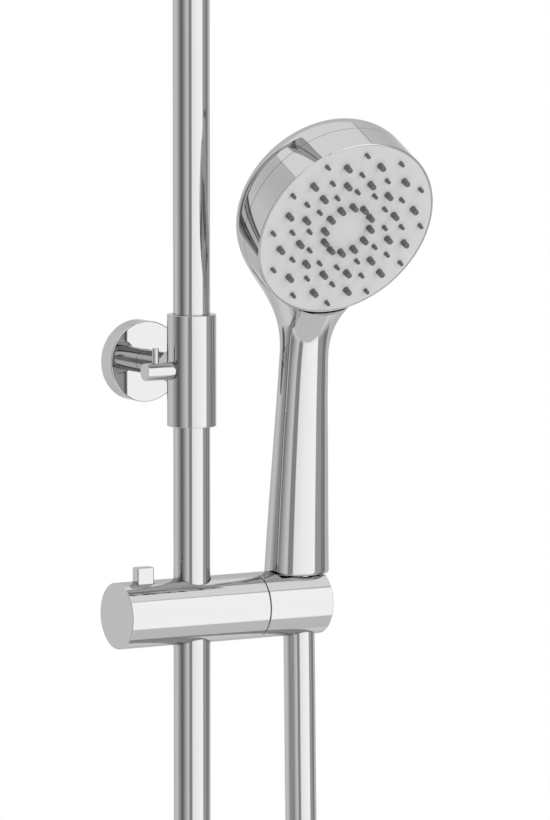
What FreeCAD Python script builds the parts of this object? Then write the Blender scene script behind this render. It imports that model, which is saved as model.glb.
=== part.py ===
import FreeCAD, Part
import math
import os

# Rainfall shower column: a wall-held riser pipe with a mixer below, a rain head above,
# and a hand shower in a sliding, tilting holder between them.  Millimetres, +Z up, +Y into the wall.
# The origin is the middle of the wall bracket's back, on the wall.

# ---------------------------------------------------------------- driving dimensions
RISER_Y = -60.0                 # riser axis in front of the wall
RISER_R = 10.0
PIPE_WALL = 1.2
RISER_BOTTOM = -764.0
RISER_TOP = 246.0
RUNNING = 0.06                  # radial clearance of a running fit
SEAT = 0.05                     # radial clearance of a fixed fit

SLEEVE_R = 13.35
SLEEVE_LOW = -30.5
SLEEVE_HIGH = 30.1
ARM_R = 6.7
COLLAR_R = 9.5
ESCUTCHEON_R = 22.2
ESCUTCHEON_DEPTH = 11.2
ANCHOR_HOLES = 28.0             # centre distance of the two wall screws
ANCHOR_HOLE_R = 2.6

SLIDER_Z = -131.0               # slider axis, as stored
SLIDER_R = 18.05
SLIDER_LEFT = -46.8
SLIDER_SEAM = 39.6
SLIDER_RIGHT = 78.8
SEAM_GAP = 0.4
BUTTON_X = -31.7

SOCKET_X = 67.5                 # axis of the handset's cone, hose and swivel
SOCKET_TOP_R = 12.0
SOCKET_LOW_R = 9.9
SEAT_Z = 15.0                   # flat on the holder under the handset, above the slider axis
SEAT_R = 19.5
HOSE_R = 8.6

FACE_R = 52.9
FACE_TILT = 26.9                # degrees that the spray face looks down
FACE_Y = -49.5                  # face centre, from the riser axis
FACE_Z = 207.8                  # face centre, from the slider axis
BAND_DEPTH = 17.0               # chrome ring behind the face
HEAD_DEPTH = 39.0               # face to the back of the head
BACK_ROUND = 16.0
WATERWAY_R = 4.6
WATERWAY_BENDS = [60.0, 30.0, 20.0, 6.5]
# Handle sections from the base up: height, centre behind the riser axis, half width, half depth.
HANDLE_SECTIONS = [
    (15.4, 2.6, 18.4, 15.7),
    (45.0, 1.0, 17.3, 14.6),
    (80.0, -1.3, 15.9, 13.3),
    (115.0, -3.6, 14.4, 12.3),
    (145.0, -6.0, 13.5, 12.0),
    (168.0, -8.0, 15.5, 12.0),
    (184.0, -12.0, 17.0, 11.0),
]

ARM_Z = 345.0                   # overhead arm axis
ARM_REACH = 400.0               # riser axis to rain head axis
ARM_BEND = 60.0
DROP_BEND = 34.0
RAIN_R = 110.0
BALL_Z = 262.0
BALL_R = 10.0
BALL_NECK_R = 5.0
BALL_MOUTH_R = 9.6               # nut's mouth, wide enough for the neck at full tilt

MIXER_Z = -786.0
MIXER_R = 21.0
MIXER_HALF = 96.0
INLET_X = 75.0
OUTLET_X = -70.0

X = FreeCAD.Vector(1, 0, 0)
Y = FreeCAD.Vector(0, 1, 0)
Z = FreeCAD.Vector(0, 0, 1)


# ---------------------------------------------------------------- helpers
def at(x, y, z):
    return FreeCAD.Vector(x, y, z)


def rod(radius, start, end):
    """Cylinder between two points."""
    return Part.makeCylinder(radius, (end - start).Length, start, end - start)


def pipe(outer, inner, start, end):
    """Straight tube between two points."""
    return rod(outer, start, end).cut(rod(inner, start, end))


def turned(profile, origin, axis):
    """Solid of revolution: profile is (radius, height) along the axis from origin."""
    points = [at(r, 0, h) for r, h in profile]
    face = Part.Face(Part.makePolygon(points + points[:1]))
    solid = face.revolve(at(0, 0, 0), Z, 360)
    solid.Placement = FreeCAD.Placement(origin, FreeCAD.Rotation(Z, axis))
    return solid


def join(shapes):
    """One solid out of touching pieces."""
    solid = shapes[0].fuse(shapes[1:])
    return solid.removeSplitter()


def soften(solid, radius, test):
    """Round the edges whose middle passes the test."""
    edges = [e for e in solid.Edges if test(e)]
    return solid.makeFillet(radius, edges)


def circle_edges(radius, position, axis):
    """Test for full circles of one radius at one place along an axis."""
    def test(edge):
        curve = edge.Curve
        if not isinstance(curve, Part.Circle) or len(edge.Vertexes) > 1:
            return False
        near = abs(curve.Center.dot(axis) - position) < 0.01
        return near and abs(curve.Radius - radius) < 0.01
    return test


def tube_along(points, radii, radius):
    """Solid round bar along straight runs joined by tangent arcs at each inner point."""
    edges = []
    last = points[0]
    for i in range(1, len(points) - 1):
        corner = points[i]
        back = (points[i - 1] - corner).normalize()
        ahead = (points[i + 1] - corner).normalize()
        half = math.pi / 2 - back.getAngle(ahead) / 2
        reach = radii[i - 1] * math.tan(half)
        start = corner + back * reach
        end = corner + ahead * reach
        middle = corner + (back + ahead).normalize() * (radii[i - 1] / math.cos(half) - radii[i - 1])
        if (start - last).Length > 1e-6:
            edges.append(Part.LineSegment(last, start).toShape())
        edges.append(Part.Arc(start, middle, end).toShape())
        last = end
    edges.append(Part.LineSegment(last, points[-1]).toShape())
    path = Part.Wire(edges)
    profile = Part.Wire([Part.makeCircle(radius, points[0], points[1] - points[0])])
    return path.makePipeShell([profile], True, False)


def cord_radii(points):
    """Largest arc that each inner point's two runs allow."""
    radii = []
    for i in range(1, len(points) - 1):
        back = points[i - 1] - points[i]
        ahead = points[i + 1] - points[i]
        half = (math.pi - back.getAngle(ahead)) / 2
        radii.append(0.45 * min(back.Length, ahead.Length) / math.tan(half))
    return radii


def oval(half_width, half_depth, centre, normal):
    """Closed elliptical wire with its width along X."""
    ellipse = Part.Ellipse(at(0, 0, 0), half_width, half_depth).toShape()
    wire = Part.Wire([ellipse])
    wire.Placement = FreeCAD.Placement(centre, FreeCAD.Rotation(X, normal.cross(X), normal, "ZXY"))
    return wire


nodes = {}


# ---------------------------------------------------------------- riser and wall bracket
def riser_point(x, y, z):
    """A point given from the riser axis."""
    return at(x, RISER_Y + y, z)


def build_riser():
    low = riser_point(0, 0, RISER_BOTTOM)
    high = riser_point(0, 0, RISER_TOP)
    nodes["riser_pipe"] = pipe(RISER_R, RISER_R - PIPE_WALL, low, high)


def build_bracket():
    bore = RISER_R + SEAT
    low = riser_point(0, 0, SLEEVE_LOW)
    high = riser_point(0, 0, SLEEVE_HIGH)
    sleeve = pipe(SLEEVE_R, bore, low, high)
    for end in (SLEEVE_LOW, SLEEVE_HIGH):
        sleeve = soften(sleeve, 0.5, circle_edges(SLEEVE_R, end, Z))
    screw_hole = rod(3.0 + RUNNING, riser_point(-20, 0, 0), riser_point(-5, 0, 0))
    nodes["bracket_sleeve"] = sleeve.cut(screw_hole)

    arm_end = -5.0
    arm = rod(ARM_R, riser_point(0, 0, 0), at(0, arm_end, 0))
    collar = turned([(0, 0), (COLLAR_R, 0), (COLLAR_R, 7), (COLLAR_R - 0.8, 8), (0, 8)],
                    riser_point(0, 12.0, 0), Y)
    arm = join([arm, collar])
    nodes["bracket_arm"] = arm.cut(rod(SLEEVE_R, riser_point(0, 0, -40), riser_point(0, 0, 40)))

    rim = 1.4
    skin = 1.6
    front = -ESCUTCHEON_DEPTH
    cup = rod(ESCUTCHEON_R, at(0, front, 0), at(0, 0, 0))
    cup = soften(cup, 0.9, circle_edges(ESCUTCHEON_R, front, Y))
    cup = cup.cut(rod(ESCUTCHEON_R - rim, at(0, front + skin, 0), at(0, 1, 0)))
    nodes["wall_escutcheon"] = cup.cut(rod(ARM_R + SEAT, at(0, front - 1, 0), at(0, 1, 0)))

    plate_r = ESCUTCHEON_R - rim - 0.4
    boss_front = -9.0
    plate = rod(plate_r, at(0, -3, 0), at(0, 0, 0))
    boss = rod(10.5, at(0, boss_front, 0), at(0, -3, 0))
    anchor = join([plate, boss]).cut(rod(ARM_R + SEAT, at(0, -10, 0), at(0, arm_end, 0)))
    for side in (-1, 1):
        hole_x = side * ANCHOR_HOLES / 2
        anchor = anchor.cut(rod(ANCHOR_HOLE_R, at(hole_x, -10, 0), at(hole_x, 1, 0)))
    grub_y = -7.0
    anchor = anchor.cut(rod(1.5, at(0, grub_y, -12), at(0, grub_y, 0)))
    nodes["wall_anchor_plate"] = anchor
    nodes["arm_grub_screw"] = rod(1.45, at(0, grub_y, -10.3), at(0, grub_y, -ARM_R - 0.02))


def build_clamp():
    """T-shaped clamp screw that locks the bracket sleeve on the riser."""
    barrel_end = -29.3
    barrel = rod(4.8, riser_point(barrel_end, 0, 0), riser_point(-SLEEVE_R - 0.1, 0, 0))
    barrel = soften(barrel, 0.5, circle_edges(4.8, barrel_end, X))
    thread = rod(3.0, riser_point(-14, 0, 0), riser_point(-RISER_R - 0.15, 0, 0))
    pin_x = -22.5
    pin_hole = rod(1.8, riser_point(pin_x, 0, -2.5), riser_point(pin_x, 0, 6))
    nodes["clamp_screw"] = join([barrel, thread]).cut(pin_hole)
    pin = rod(1.8, riser_point(pin_x, 0, -2.5), riser_point(pin_x, 0, 12.7))
    nodes["clamp_pin"] = soften(pin, 0.4, circle_edges(1.8, 12.7, Z))


# ---------------------------------------------------------------- slider and holder
def slider_point(x, y, z):
    """A point given from the crossing of the slider and riser axes."""
    return at(x, RISER_Y + y, SLIDER_Z + z)


def build_slider():
    left = slider_point(SLIDER_LEFT, 0, 0)
    seam = slider_point(SLIDER_SEAM - SEAM_GAP, 0, 0)
    body = rod(SLIDER_R, left, seam)
    body = soften(body, 0.8, circle_edges(SLIDER_R, SLIDER_LEFT, X))
    liner_r = RISER_R + 2.2
    body = body.cut(rod(RISER_R + 0.35, slider_point(0, 0, -25), slider_point(0, 0, 25)))
    body = body.cut(rod(liner_r, slider_point(0, 0, -13.05), slider_point(0, 0, 13.05)))
    shoe_r = 6.0
    body = body.cut(rod(shoe_r + 0.15, slider_point(-27, 0, 0), slider_point(0, 0, 0)))
    pocket = Part.makeBox(10.7, 7.1, 30, slider_point(BUTTON_X - 5.35, -6.05, -9))
    body = body.cut(pocket)
    spindle_r = 7.0
    spindle_start = 16.0
    body = body.cut(rod(spindle_r + SEAT, slider_point(spindle_start, 0, 0), slider_point(45, 0, 0)))
    nodes["slider_body"] = body

    liner = pipe(liner_r - 0.05, RISER_R + RUNNING, slider_point(0, 0, -13), slider_point(0, 0, 13))
    window = rod(shoe_r + 0.15, slider_point(-20, 0, 0), slider_point(0, 0, 0))
    nodes["slider_liner"] = liner.cut(window)

    shoe = rod(shoe_r, slider_point(-17.5, 0, 0), slider_point(-6, 0, 0))
    shoe = shoe.cut(rod(RISER_R + RUNNING, slider_point(0, 0, -20), slider_point(0, 0, 20)))
    nodes["brake_shoe"] = shoe.cut(rod(3.8, slider_point(-17.6, 0, 0), slider_point(-13.5, 0, 0)))
    nodes["brake_spring"] = pipe(3.4, 2.4, slider_point(-24.0, 0, 0), slider_point(-15.2, 0, 0))

    top = 26.0
    button = Part.makeBox(10.2, 6.6, 27.5, slider_point(BUTTON_X - 5.1, -5.8, top - 27.5))
    button = soften(button, 1.0, lambda e: e.BoundBox.ZMin > SLIDER_Z + top - 0.01)
    button = button.cut(rod(2.6, slider_point(BUTTON_X, -2.5, -3), slider_point(BUTTON_X, -2.5, 4)))
    nodes["release_button"] = button
    nodes["button_spring"] = pipe(2.2, 1.5, slider_point(BUTTON_X, -2.5, -8.9), slider_point(BUTTON_X, -2.5, 0.5))

    spindle_end = 52.5
    spindle = rod(spindle_r, slider_point(spindle_start, 0, 0), slider_point(spindle_end, 0, 0))
    groove = pipe(spindle_r + 1, spindle_r - 1, slider_point(47, 0, 0), slider_point(49, 0, 0))
    spindle = spindle.cut(groove)
    screw_hole = rod(2.5, slider_point(30, 0, 0), slider_point(spindle_end + 1, 0, 0))
    nodes["swivel_spindle"] = spindle.cut(screw_hole)
    friction_x = SLIDER_SEAM - SEAM_GAP
    nodes["friction_washer"] = pipe(14.0, spindle_r + 0.2, slider_point(friction_x, 0, 0),
                                    slider_point(friction_x + 0.25, 0, 0))


def build_holder():
    seam = slider_point(SLIDER_SEAM, 0, 0)
    end = slider_point(SLIDER_RIGHT, 0, 0)
    body = rod(SLIDER_R, seam, end)
    body = soften(body, 0.8, circle_edges(SLIDER_R, SLIDER_RIGHT, X))
    body = body.cut(rod(7.0 + RUNNING, slider_point(30, 0, 0), slider_point(53, 0, 0)))
    taper = (SOCKET_TOP_R - SOCKET_LOW_R) / 32.0
    half = 20.0
    cone = Part.makeCone(SOCKET_LOW_R - taper * 4, SOCKET_TOP_R + taper * 4, 2 * half,
                         slider_point(SOCKET_X, 0, -half), Z)
    flat = rod(SEAT_R, slider_point(SOCKET_X, 0, SEAT_Z), slider_point(SOCKET_X, 0, SLIDER_R + 1))
    nodes["holder_body"] = body.cut(cone).cut(flat)

    liner_top = 10.0
    liner_low = -12.0
    skin = 0.9
    outer_low = SOCKET_LOW_R + taper * (16 + liner_low) - 0.02
    outer_top = SOCKET_LOW_R + taper * (16 + liner_top) - 0.02
    low = slider_point(SOCKET_X, 0, liner_low)
    outer = Part.makeCone(outer_low, outer_top, liner_top - liner_low, low, Z)
    inner = Part.makeCone(outer_low - skin, outer_top - skin, liner_top - liner_low, low, Z)
    nodes["holder_insert"] = outer.cut(inner)

    nut_low = -11.0
    nut_top = 14.0
    gap = 0.05
    low_r = outer_low - skin - gap + taper * (nut_low - liner_low)
    high_r = low_r + taper * (nut_top - nut_low)
    nut = Part.makeCone(low_r, high_r, nut_top - nut_low, slider_point(SOCKET_X, 0, nut_low), Z)
    thread = rod(8.6, slider_point(SOCKET_X, 0, 3), slider_point(SOCKET_X, 0, 20))
    throat = rod(6.6, slider_point(SOCKET_X, 0, -20), slider_point(SOCKET_X, 0, 10))
    nodes["hose_cone_nut"] = nut.cut(thread).cut(throat)
    nodes["hose_ferrule"] = turned([(4.0, -12.0), (6.5, -12.0), (6.5, 3.05), (8.2, 3.05), (8.2, 5.0),
                                    (4.0, 5.0)], slider_point(SOCKET_X, 0, 0), Z)
    nodes["hose_seal"] = pipe(8.2, 4.5, slider_point(SOCKET_X, 0, 5.0), slider_point(SOCKET_X, 0, 7.0))


# ---------------------------------------------------------------- handset
def face_frame(radial, along):
    """A point on the head: distance up the face plane, and distance out along its normal."""
    tilt = math.radians(FACE_TILT)
    y = FACE_Y - along * math.cos(tilt) - radial * math.sin(tilt)
    z = FACE_Z - along * math.sin(tilt) + radial * math.cos(tilt)
    return slider_point(SOCKET_X, y, z)


FACE_NORMAL = at(0, -math.cos(math.radians(FACE_TILT)), -math.sin(math.radians(FACE_TILT)))

def handle_loft(shrink, low):
    """Tapered oval handle that leans forward into the head."""
    wires = []
    for height, behind, width, depth in HANDLE_SECTIONS:
        level = max(height, low)
        wires.append(oval(width - shrink, depth - shrink, slider_point(SOCKET_X, behind, level), Z))
    return Part.makeLoft(wires, True, False)


def build_handset():
    skin = 2.2
    inner_r = FACE_R - skin
    shell = rod(FACE_R, face_frame(0, -HEAD_DEPTH), face_frame(0, -BAND_DEPTH))
    shell = soften(shell, BACK_ROUND, lambda e: e.CenterOfMass.distanceToPoint(face_frame(0, -HEAD_DEPTH)) < 1)
    shell = join([shell, handle_loft(0, 0)])
    shell = shell.cut(rod(FACE_R + 0.3, face_frame(0, -BAND_DEPTH), face_frame(0, 60)))
    hollow = rod(inner_r, face_frame(0, -HEAD_DEPTH + skin), face_frame(0, 10))
    hollow = soften(hollow, BACK_ROUND - skin,
                    lambda e: e.CenterOfMass.distanceToPoint(face_frame(0, -HEAD_DEPTH + skin)) < 1)
    bore = tube_along(waterway_route(), WATERWAY_BENDS, WATERWAY_R + 0.6)
    floor_z = 24.0
    socket = rod(10.4, slider_point(SOCKET_X, 0, floor_z), slider_point(SOCKET_X, 0, 44))
    neck = rod(9.0, slider_point(SOCKET_X, 0, 10), slider_point(SOCKET_X, 0, floor_z))
    nodes["handset_shell"] = shell.cut(hollow).cut(bore).cut(socket).cut(neck)

    band = turned([(FACE_R - skin, -BAND_DEPTH + 0.1), (FACE_R, -BAND_DEPTH + 0.1), (FACE_R, -0.5),
                   (FACE_R - 0.5, 0), (FACE_R - 1.0, 0), (FACE_R - 1.0, -3.0), (FACE_R - skin, -3.0)],
                  face_frame(0, 0), FACE_NORMAL)
    nodes["handset_band"] = band
    plate_r = FACE_R - 1.05
    plate = rod(plate_r, face_frame(0, -2.9), face_frame(0, -0.2))
    nozzle_rings = ring_layout()
    for ring_r, phase, large in nozzle_rings:
        for start in nozzle_places(ring_r, phase):
            hole = 1.75 if large else 1.15
            plate = plate.cut(rod(hole + SEAT, start - FACE_NORMAL, start + FACE_NORMAL * 4))
    nodes["spray_face"] = plate
    large_set = []
    small_set = []
    for ring_r, phase, large in nozzle_rings:
        for start in nozzle_places(ring_r, phase):
            if large:
                large_set.append(nozzle(start, 1.75, 1.5, 4.5))
            else:
                small_set.append(nozzle(start, 1.15, 1.0, 3.3))
    nodes["nozzles_large"] = Part.makeCompound(large_set)
    nodes["nozzles_small"] = Part.makeCompound(small_set)
    nodes["nozzle_mat"] = rod(FACE_R - skin - 0.2, face_frame(0, -4.5), face_frame(0, -2.95))
    chamber = turned([(0, -12), (49, -12), (49, -4.6), (47, -4.6), (47, -10), (0, -10)],
                     face_frame(0, 0), FACE_NORMAL)
    nodes["distributor_plate"] = chamber.cut(rod(6, face_frame(0, -14), face_frame(0, -8)))

    route = waterway_route()
    outer = tube_along(route, WATERWAY_BENDS, WATERWAY_R)
    nodes["waterway_tube"] = outer.cut(tube_along(route, WATERWAY_BENDS, WATERWAY_R - 1))
    nodes["handset_inlet"] = turned([(4.5, 7.1), (8.5, 7.1), (8.5, 14.3), (8.9, 14.6), (8.9, 24.1),
                                     (10.3, 24.1), (10.3, 44), (4.5, 44)],
                                    slider_point(SOCKET_X, 0, 0), Z)


def waterway_route():
    """Middle line of the water tube, from the inlet up the handle to the middle of the face."""
    return [slider_point(SOCKET_X, 0, 44.5), slider_point(SOCKET_X, -3.0, 140),
            slider_point(SOCKET_X, -5.4, 168), slider_point(SOCKET_X, -14.0, 192),
            face_frame(0, -20.5), face_frame(0, -12.1)]


def ring_layout():
    """Six rings of twelve nozzles: radius, phase in degrees, large or small."""
    return [(14.2, 0, True), (23.6, 0, False), (28.7, 15, True),
            (34.3, 0, False), (40.4, 15, True), (46.2, 0, False)]


def nozzle_places(ring_r, phase):
    """Points of one ring on the face plane."""
    places = []
    for k in range(12):
        turn = math.radians(30 * k + phase)
        up = face_frame(ring_r * math.cos(turn), -2.9)
        places.append(up + X * (ring_r * math.sin(turn)))
    return places


def nozzle(start, base, tip, height):
    """One soft nozzle standing through the plate."""
    through = 2.7
    stem = rod(base, start, start + FACE_NORMAL * through)
    cone = Part.makeCone(base, tip, height, start + FACE_NORMAL * through, FACE_NORMAL)
    return stem.fuse(cone).removeSplitter()


# ---------------------------------------------------------------- overhead arm and rain head
def build_arm():
    low = riser_point(0, 0, 214)
    high = riser_point(0, 0, 276)
    union = pipe(SLEEVE_R, RISER_R + RUNNING, low, high)
    for end in (214, 276):
        union = soften(union, 0.5, circle_edges(SLEEVE_R, end, Z))
    grub = rod(1.5, riser_point(0, 9, 228), riser_point(0, 16, 228))
    groove = pipe(11.2, RISER_R, riser_point(0, 0, 262), riser_point(0, 0, 264.4))
    nodes["arm_union"] = union.cut(grub).cut(groove)
    nodes["union_grub_screw"] = rod(1.45, riser_point(0, RISER_R + 0.02, 228), riser_point(0, 13, 228))
    nodes["union_o_ring"] = pipe(11.1, RISER_R + 0.03, riser_point(0, 0, 262.1), riser_point(0, 0, 264.3))

    route = [riser_point(0, 0, RISER_TOP + 0.3), riser_point(0, 0, ARM_Z), riser_point(0, -ARM_REACH, ARM_Z),
             riser_point(0, -ARM_REACH, 292)]
    bends = [ARM_BEND, DROP_BEND]
    outer = tube_along(route, bends, RISER_R)
    nodes["shower_arm"] = outer.cut(tube_along(route, bends, RISER_R - PIPE_WALL))

    head = riser_point(0, -ARM_REACH, 0)
    nodes["rain_ball_stem"] = ball_stem(head)
    nodes["rain_stem_nut"] = turned([(RISER_R + SEAT, 292), (13.2, 292), (14, 293), (14, 304), (13.2, 305),
                                     (RISER_R + SEAT, 305)], head, Z)


def ball_stem(head):
    """Hollow stem with a ball at its lower end."""
    stem = rod(BALL_NECK_R, at(head.x, head.y, BALL_Z), at(head.x, head.y, 291.9))
    flange = rod(12.5, at(head.x, head.y, 284), at(head.x, head.y, 291.9))
    ball = Part.makeSphere(BALL_R, at(head.x, head.y, BALL_Z))
    solid = join([ball, stem, flange])
    return solid.cut(rod(3.5, at(head.x, head.y, 250), at(head.x, head.y, 293)))


def build_rain_head():
    head = riser_point(0, -ARM_REACH, 0)
    centre = at(head.x, head.y, BALL_Z)
    seat_r = BALL_R + 0.1
    outer_r = 13.0
    seat = Part.makeSphere(outer_r, centre).cut(Part.makeSphere(seat_r, centre))
    keep = pipe(30, 5, at(head.x, head.y, BALL_Z - 7.5), at(head.x, head.y, BALL_Z + 7.0))
    nodes["rain_seat_ring"] = seat.common(keep)

    nut = turned([(BALL_MOUTH_R, 274.5), (14, 274.5), (16.2, 272), (16.2, 249.4), (8.6, 249.4),
                  (8.6, BALL_Z), (BALL_MOUTH_R, BALL_Z)], head, Z)
    nodes["rain_ball_nut"] = nut.cut(Part.makeSphere(outer_r + 0.1, centre))

    top = [(0, 249.3), (16, 249.3), (22, 247.5), (60, 245), (RAIN_R - 3, 243), (RAIN_R, 240.5)]
    under = [(RAIN_R, 235.1), (RAIN_R - 2, 235.1), (RAIN_R - 2, 240.0), (60, 242.5), (20, 243.5), (0, 243.5)]
    shell = turned(top + under, head, Z)
    nodes["rain_head_shell"] = shell.cut(rod(6, at(head.x, head.y, 240), at(head.x, head.y, 252)))
    nodes["rain_seal_ring"] = turned([(RAIN_R - 7, 238.1), (RAIN_R - 4.5, 238.1), (RAIN_R - 4.5, 239.9),
                                      (RAIN_R - 7, 239.9)], head, Z)
    face_low = 235.0
    face = rod(RAIN_R - 2.1, at(head.x, head.y, face_low), at(head.x, head.y, face_low + 3))
    places = rain_places(head)
    for place in places:
        face = face.cut(rod(1.35, place + Z * (face_low - 1), place + Z * (face_low + 4)))
    nodes["rain_face_plate"] = face
    jets = []
    for place in places:
        stem = rod(1.3, place + Z * face_low, place + Z * (face_low + 3))
        tip = Part.makeCone(0.9, 1.3, 2.0, place + Z * (face_low - 2), Z)
        jets.append(stem.fuse(tip).removeSplitter())
    nodes["rain_nozzles"] = Part.makeCompound(jets)


def rain_places(head):
    """Centres of the rain nozzles: rings whose count grows with the radius."""
    places = []
    for ring in range(1, 7):
        radius = 15.5 * ring
        count = 6 * ring
        for k in range(count):
            turn = 2 * math.pi * (k + 0.5 * (ring % 2)) / count
            places.append(at(head.x + radius * math.cos(turn), head.y + radius * math.sin(turn), 0))
    return places


# ---------------------------------------------------------------- mixer
def mixer_point(x, y, z):
    """A point given from the middle of the mixer's axis."""
    return at(x, RISER_Y + y, MIXER_Z + z)


def build_mixer():
    body = rod(MIXER_R, mixer_point(-MIXER_HALF, 0, 0), mixer_point(MIXER_HALF, 0, 0))
    for end in (-MIXER_HALF, MIXER_HALF):
        body = soften(body, 0.8, circle_edges(MIXER_R, end, X))
    riser_boss = rod(12.0, mixer_point(0, 0, 0), mixer_point(0, 0, 31))
    outlet_boss = rod(10.2, mixer_point(OUTLET_X, 0, -29), mixer_point(OUTLET_X, 0, 0))
    bosses = [riser_boss, outlet_boss]
    for side in (-1, 1):
        bosses.append(rod(13.0, mixer_point(side * INLET_X, 0, 0), mixer_point(side * INLET_X, 26, 0)))
    body = join([body] + bosses)
    for side in (-1, 1):
        pocket_start = mixer_point(side * (MIXER_HALF + 1), 0, 0)
        body = body.cut(rod(15.1, pocket_start, mixer_point(side * 44, 0, 0)))
        body = body.cut(rod(8.5, mixer_point(side * INLET_X, 12, 0), mixer_point(side * INLET_X, 30, 0)))
    body = body.cut(rod(RISER_R + SEAT, mixer_point(0, 0, 22), mixer_point(0, 0, 40)))
    body = body.cut(rod(7.0, mixer_point(0, 0, 0), mixer_point(0, 0, 23)))
    body = body.cut(rod(7.0, mixer_point(-60, 0, 0), mixer_point(60, 0, 0)))
    nodes["mixer_body"] = body.cut(rod(5.5, mixer_point(OUTLET_X, 0, -30), mixer_point(OUTLET_X, 0, -10)))

    riser_nut = turned([(12.05, 22.0), (15.2, 22.0), (16, 23), (16, 37), (15, 38.2), (RISER_R + SEAT, 38.2),
                        (RISER_R + SEAT, 31.2), (12.05, 31.2)], mixer_point(0, 0, 0), Z)
    nodes["riser_nut"] = riser_nut
    nodes["inlet_nuts"] = pair(lambda x: hex_nut(x))
    nodes["inlet_unions"] = pair(lambda x: pipe(8.4, 5.5, mixer_point(x, 26.2, 0), mixer_point(x, 60, 0)))
    nodes["inlet_escutcheons"] = pair(inlet_cover)
    nodes["check_valves"] = pair(lambda x: pipe(8.3, 3.5, mixer_point(x, 15, 0), mixer_point(x, 26, 0)))

    nodes["thermostat_cartridge"] = cartridge(1)
    nodes["flow_cartridge"] = cartridge(-1)
    nodes["temperature_handle"] = mixer_handle(1).cut(stop_pocket())
    nodes["flow_handle"] = mixer_handle(-1)
    button = rod(5.3, mixer_point(MIXER_HALF + 22, -24.4, 0), mixer_point(MIXER_HALF + 22, -17.5, 0))
    nodes["temperature_stop"] = soften(button, 0.8, circle_edges(5.3, RISER_Y - 24.4, Y))

    nodes["hose_nut"] = turned([(10.25, -23.5), (12.2, -23.5), (12.8, -24.5), (12.8, -38), (10.8, -42.5),
                                (7.5, -42.5), (7.5, -33.0), (10.25, -33.0)], mixer_point(OUTLET_X, 0, 0), Z)
    nodes["outlet_seal"] = pipe(10.1, 5.5, mixer_point(OUTLET_X, 0, -31), mixer_point(OUTLET_X, 0, -29.1))
    nodes["outlet_ferrule"] = turned([(4.5, -31.1), (10.1, -31.1), (10.1, -32.9), (7.4, -32.9), (7.4, -42.4),
                                      (4.5, -42.4)], mixer_point(OUTLET_X, 0, 0), Z)


def pair(make):
    """The same piece at both water inlets."""
    return Part.makeCompound([make(-INLET_X), make(INLET_X)])


def hex_nut(x):
    """Union nut between the wall union and the mixer."""
    flats = 15.0
    corner = flats / math.cos(math.pi / 6)
    points = []
    for k in range(7):
        turn = math.pi / 3 * k
        points.append(mixer_point(x + corner * math.cos(turn), 26.1, corner * math.sin(turn)))
    nut = Part.Face(Part.makePolygon(points)).extrude(Y * 16)
    return nut.cut(rod(8.45, mixer_point(x, 20, 0), mixer_point(x, 50, 0)))


def inlet_cover(x):
    """Dished wall cover around an inlet."""
    rim_r = 33.0
    return turned([(12.0, 17.0), (rim_r - 12, 14.0), (rim_r, 1.5), (rim_r, 0.0), (rim_r - 1.5, 0.0),
                   (rim_r - 13, 12.0), (8.6, 15.0), (8.6, 17.0)], at(x, 0, MIXER_Z), -Y)


def cartridge(side):
    """Cartridge in one end of the mixer, with the stem that its handle sits on."""
    profile = [(0, 44.2), (14.9, 44.2), (14.9, MIXER_HALF - 2), (12, MIXER_HALF - 2), (12, MIXER_HALF + 1),
               (5.0, MIXER_HALF + 1), (5.0, MIXER_HALF + 18), (0, MIXER_HALF + 18)]
    return turned(profile, mixer_point(0, 0, 0), X * side)


def mixer_handle(side):
    """Round grip with a raised lever that shows its position."""
    start = MIXER_HALF + 1.3
    end = MIXER_HALF + 40
    grip_r = 22.5
    profile = [(5.0 + RUNNING, start), (grip_r - 0.8, start), (grip_r, start + 0.8), (grip_r, end - 1.5),
               (grip_r - 1.5, end), (0, end), (0, MIXER_HALF + 18.2), (5.0 + RUNNING, MIXER_HALF + 18.2)]
    grip = turned(profile, mixer_point(0, 0, 0), X * side)
    low = min(side * (end - 10), side * (end - 2))
    lever = Part.makeBox(8, 9, 10, mixer_point(low, -4.5, 19))
    lever = soften(lever, 1.0, lambda e: e.BoundBox.ZMin > MIXER_Z + 28.9)
    return join([grip, lever])


def stop_pocket():
    """Blind hole for the temperature stop button."""
    return rod(5.3 + 0.3, mixer_point(MIXER_HALF + 22, -30, 0), mixer_point(MIXER_HALF + 22, -14, 0))


# ---------------------------------------------------------------- hose
def build_hose():
    """Smooth hose that hangs from the handset in a loop and comes up into the mixer."""
    upper = [slider_point(SOCKET_X, 0, -12.1), slider_point(SOCKET_X + 0.2, -0.6, -46),
             slider_point(SOCKET_X - 0.4, -2.2, -90), slider_point(SOCKET_X - 1.6, -5.4, -142)]
    lead = upper[-1] - upper[-2]
    last = upper[-1]
    drop = [last, last + lead,
            at(63.0, -80.0, -385), at(63.0, -89.0, -452), at(63.5, -96.0, -520), at(65.0, -101.5, -588),
            at(66.5, -105.5, -656), at(68.0, -107.5, -724), at(69.5, -108.0, -792), at(71.5, -106.5, -860),
            at(75.0, -103.5, -928), at(79.5, -100.0, -996), at(83.5, -96.5, -1062)]
    turn = drop[-1] - drop[-2]
    rise = [drop[-1], drop[-1] + turn * 0.75,
            at(60.0, -89.0, -1160), at(19.5, -84.5, -1186), at(-27.5, -79.5, -1187), at(-68.0, -75.0, -1163),
            at(-92.0, -71.0, -1121), at(-93.0, -67.5, -1068), at(-89.0, -64.5, -1014), at(-83.0, -62.0, -960),
            at(-76.5, -60.5, -906), at(-71.0, -60.2, -866), at(OUTLET_X, RISER_Y, MIXER_Z - 43.1)]
    for name, points in (("hose_upper", upper), ("hose_drop", drop), ("hose_rise", rise)):
        radii = cord_radii(points)
        solid = tube_along(points, radii, HOSE_R)
        section = math.pi * HOSE_R ** 2
        print(name, "radii", [round(r) for r in radii], "length", round(solid.Volume / section, 1),
              "valid", solid.isValid())
        nodes[name] = solid


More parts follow.
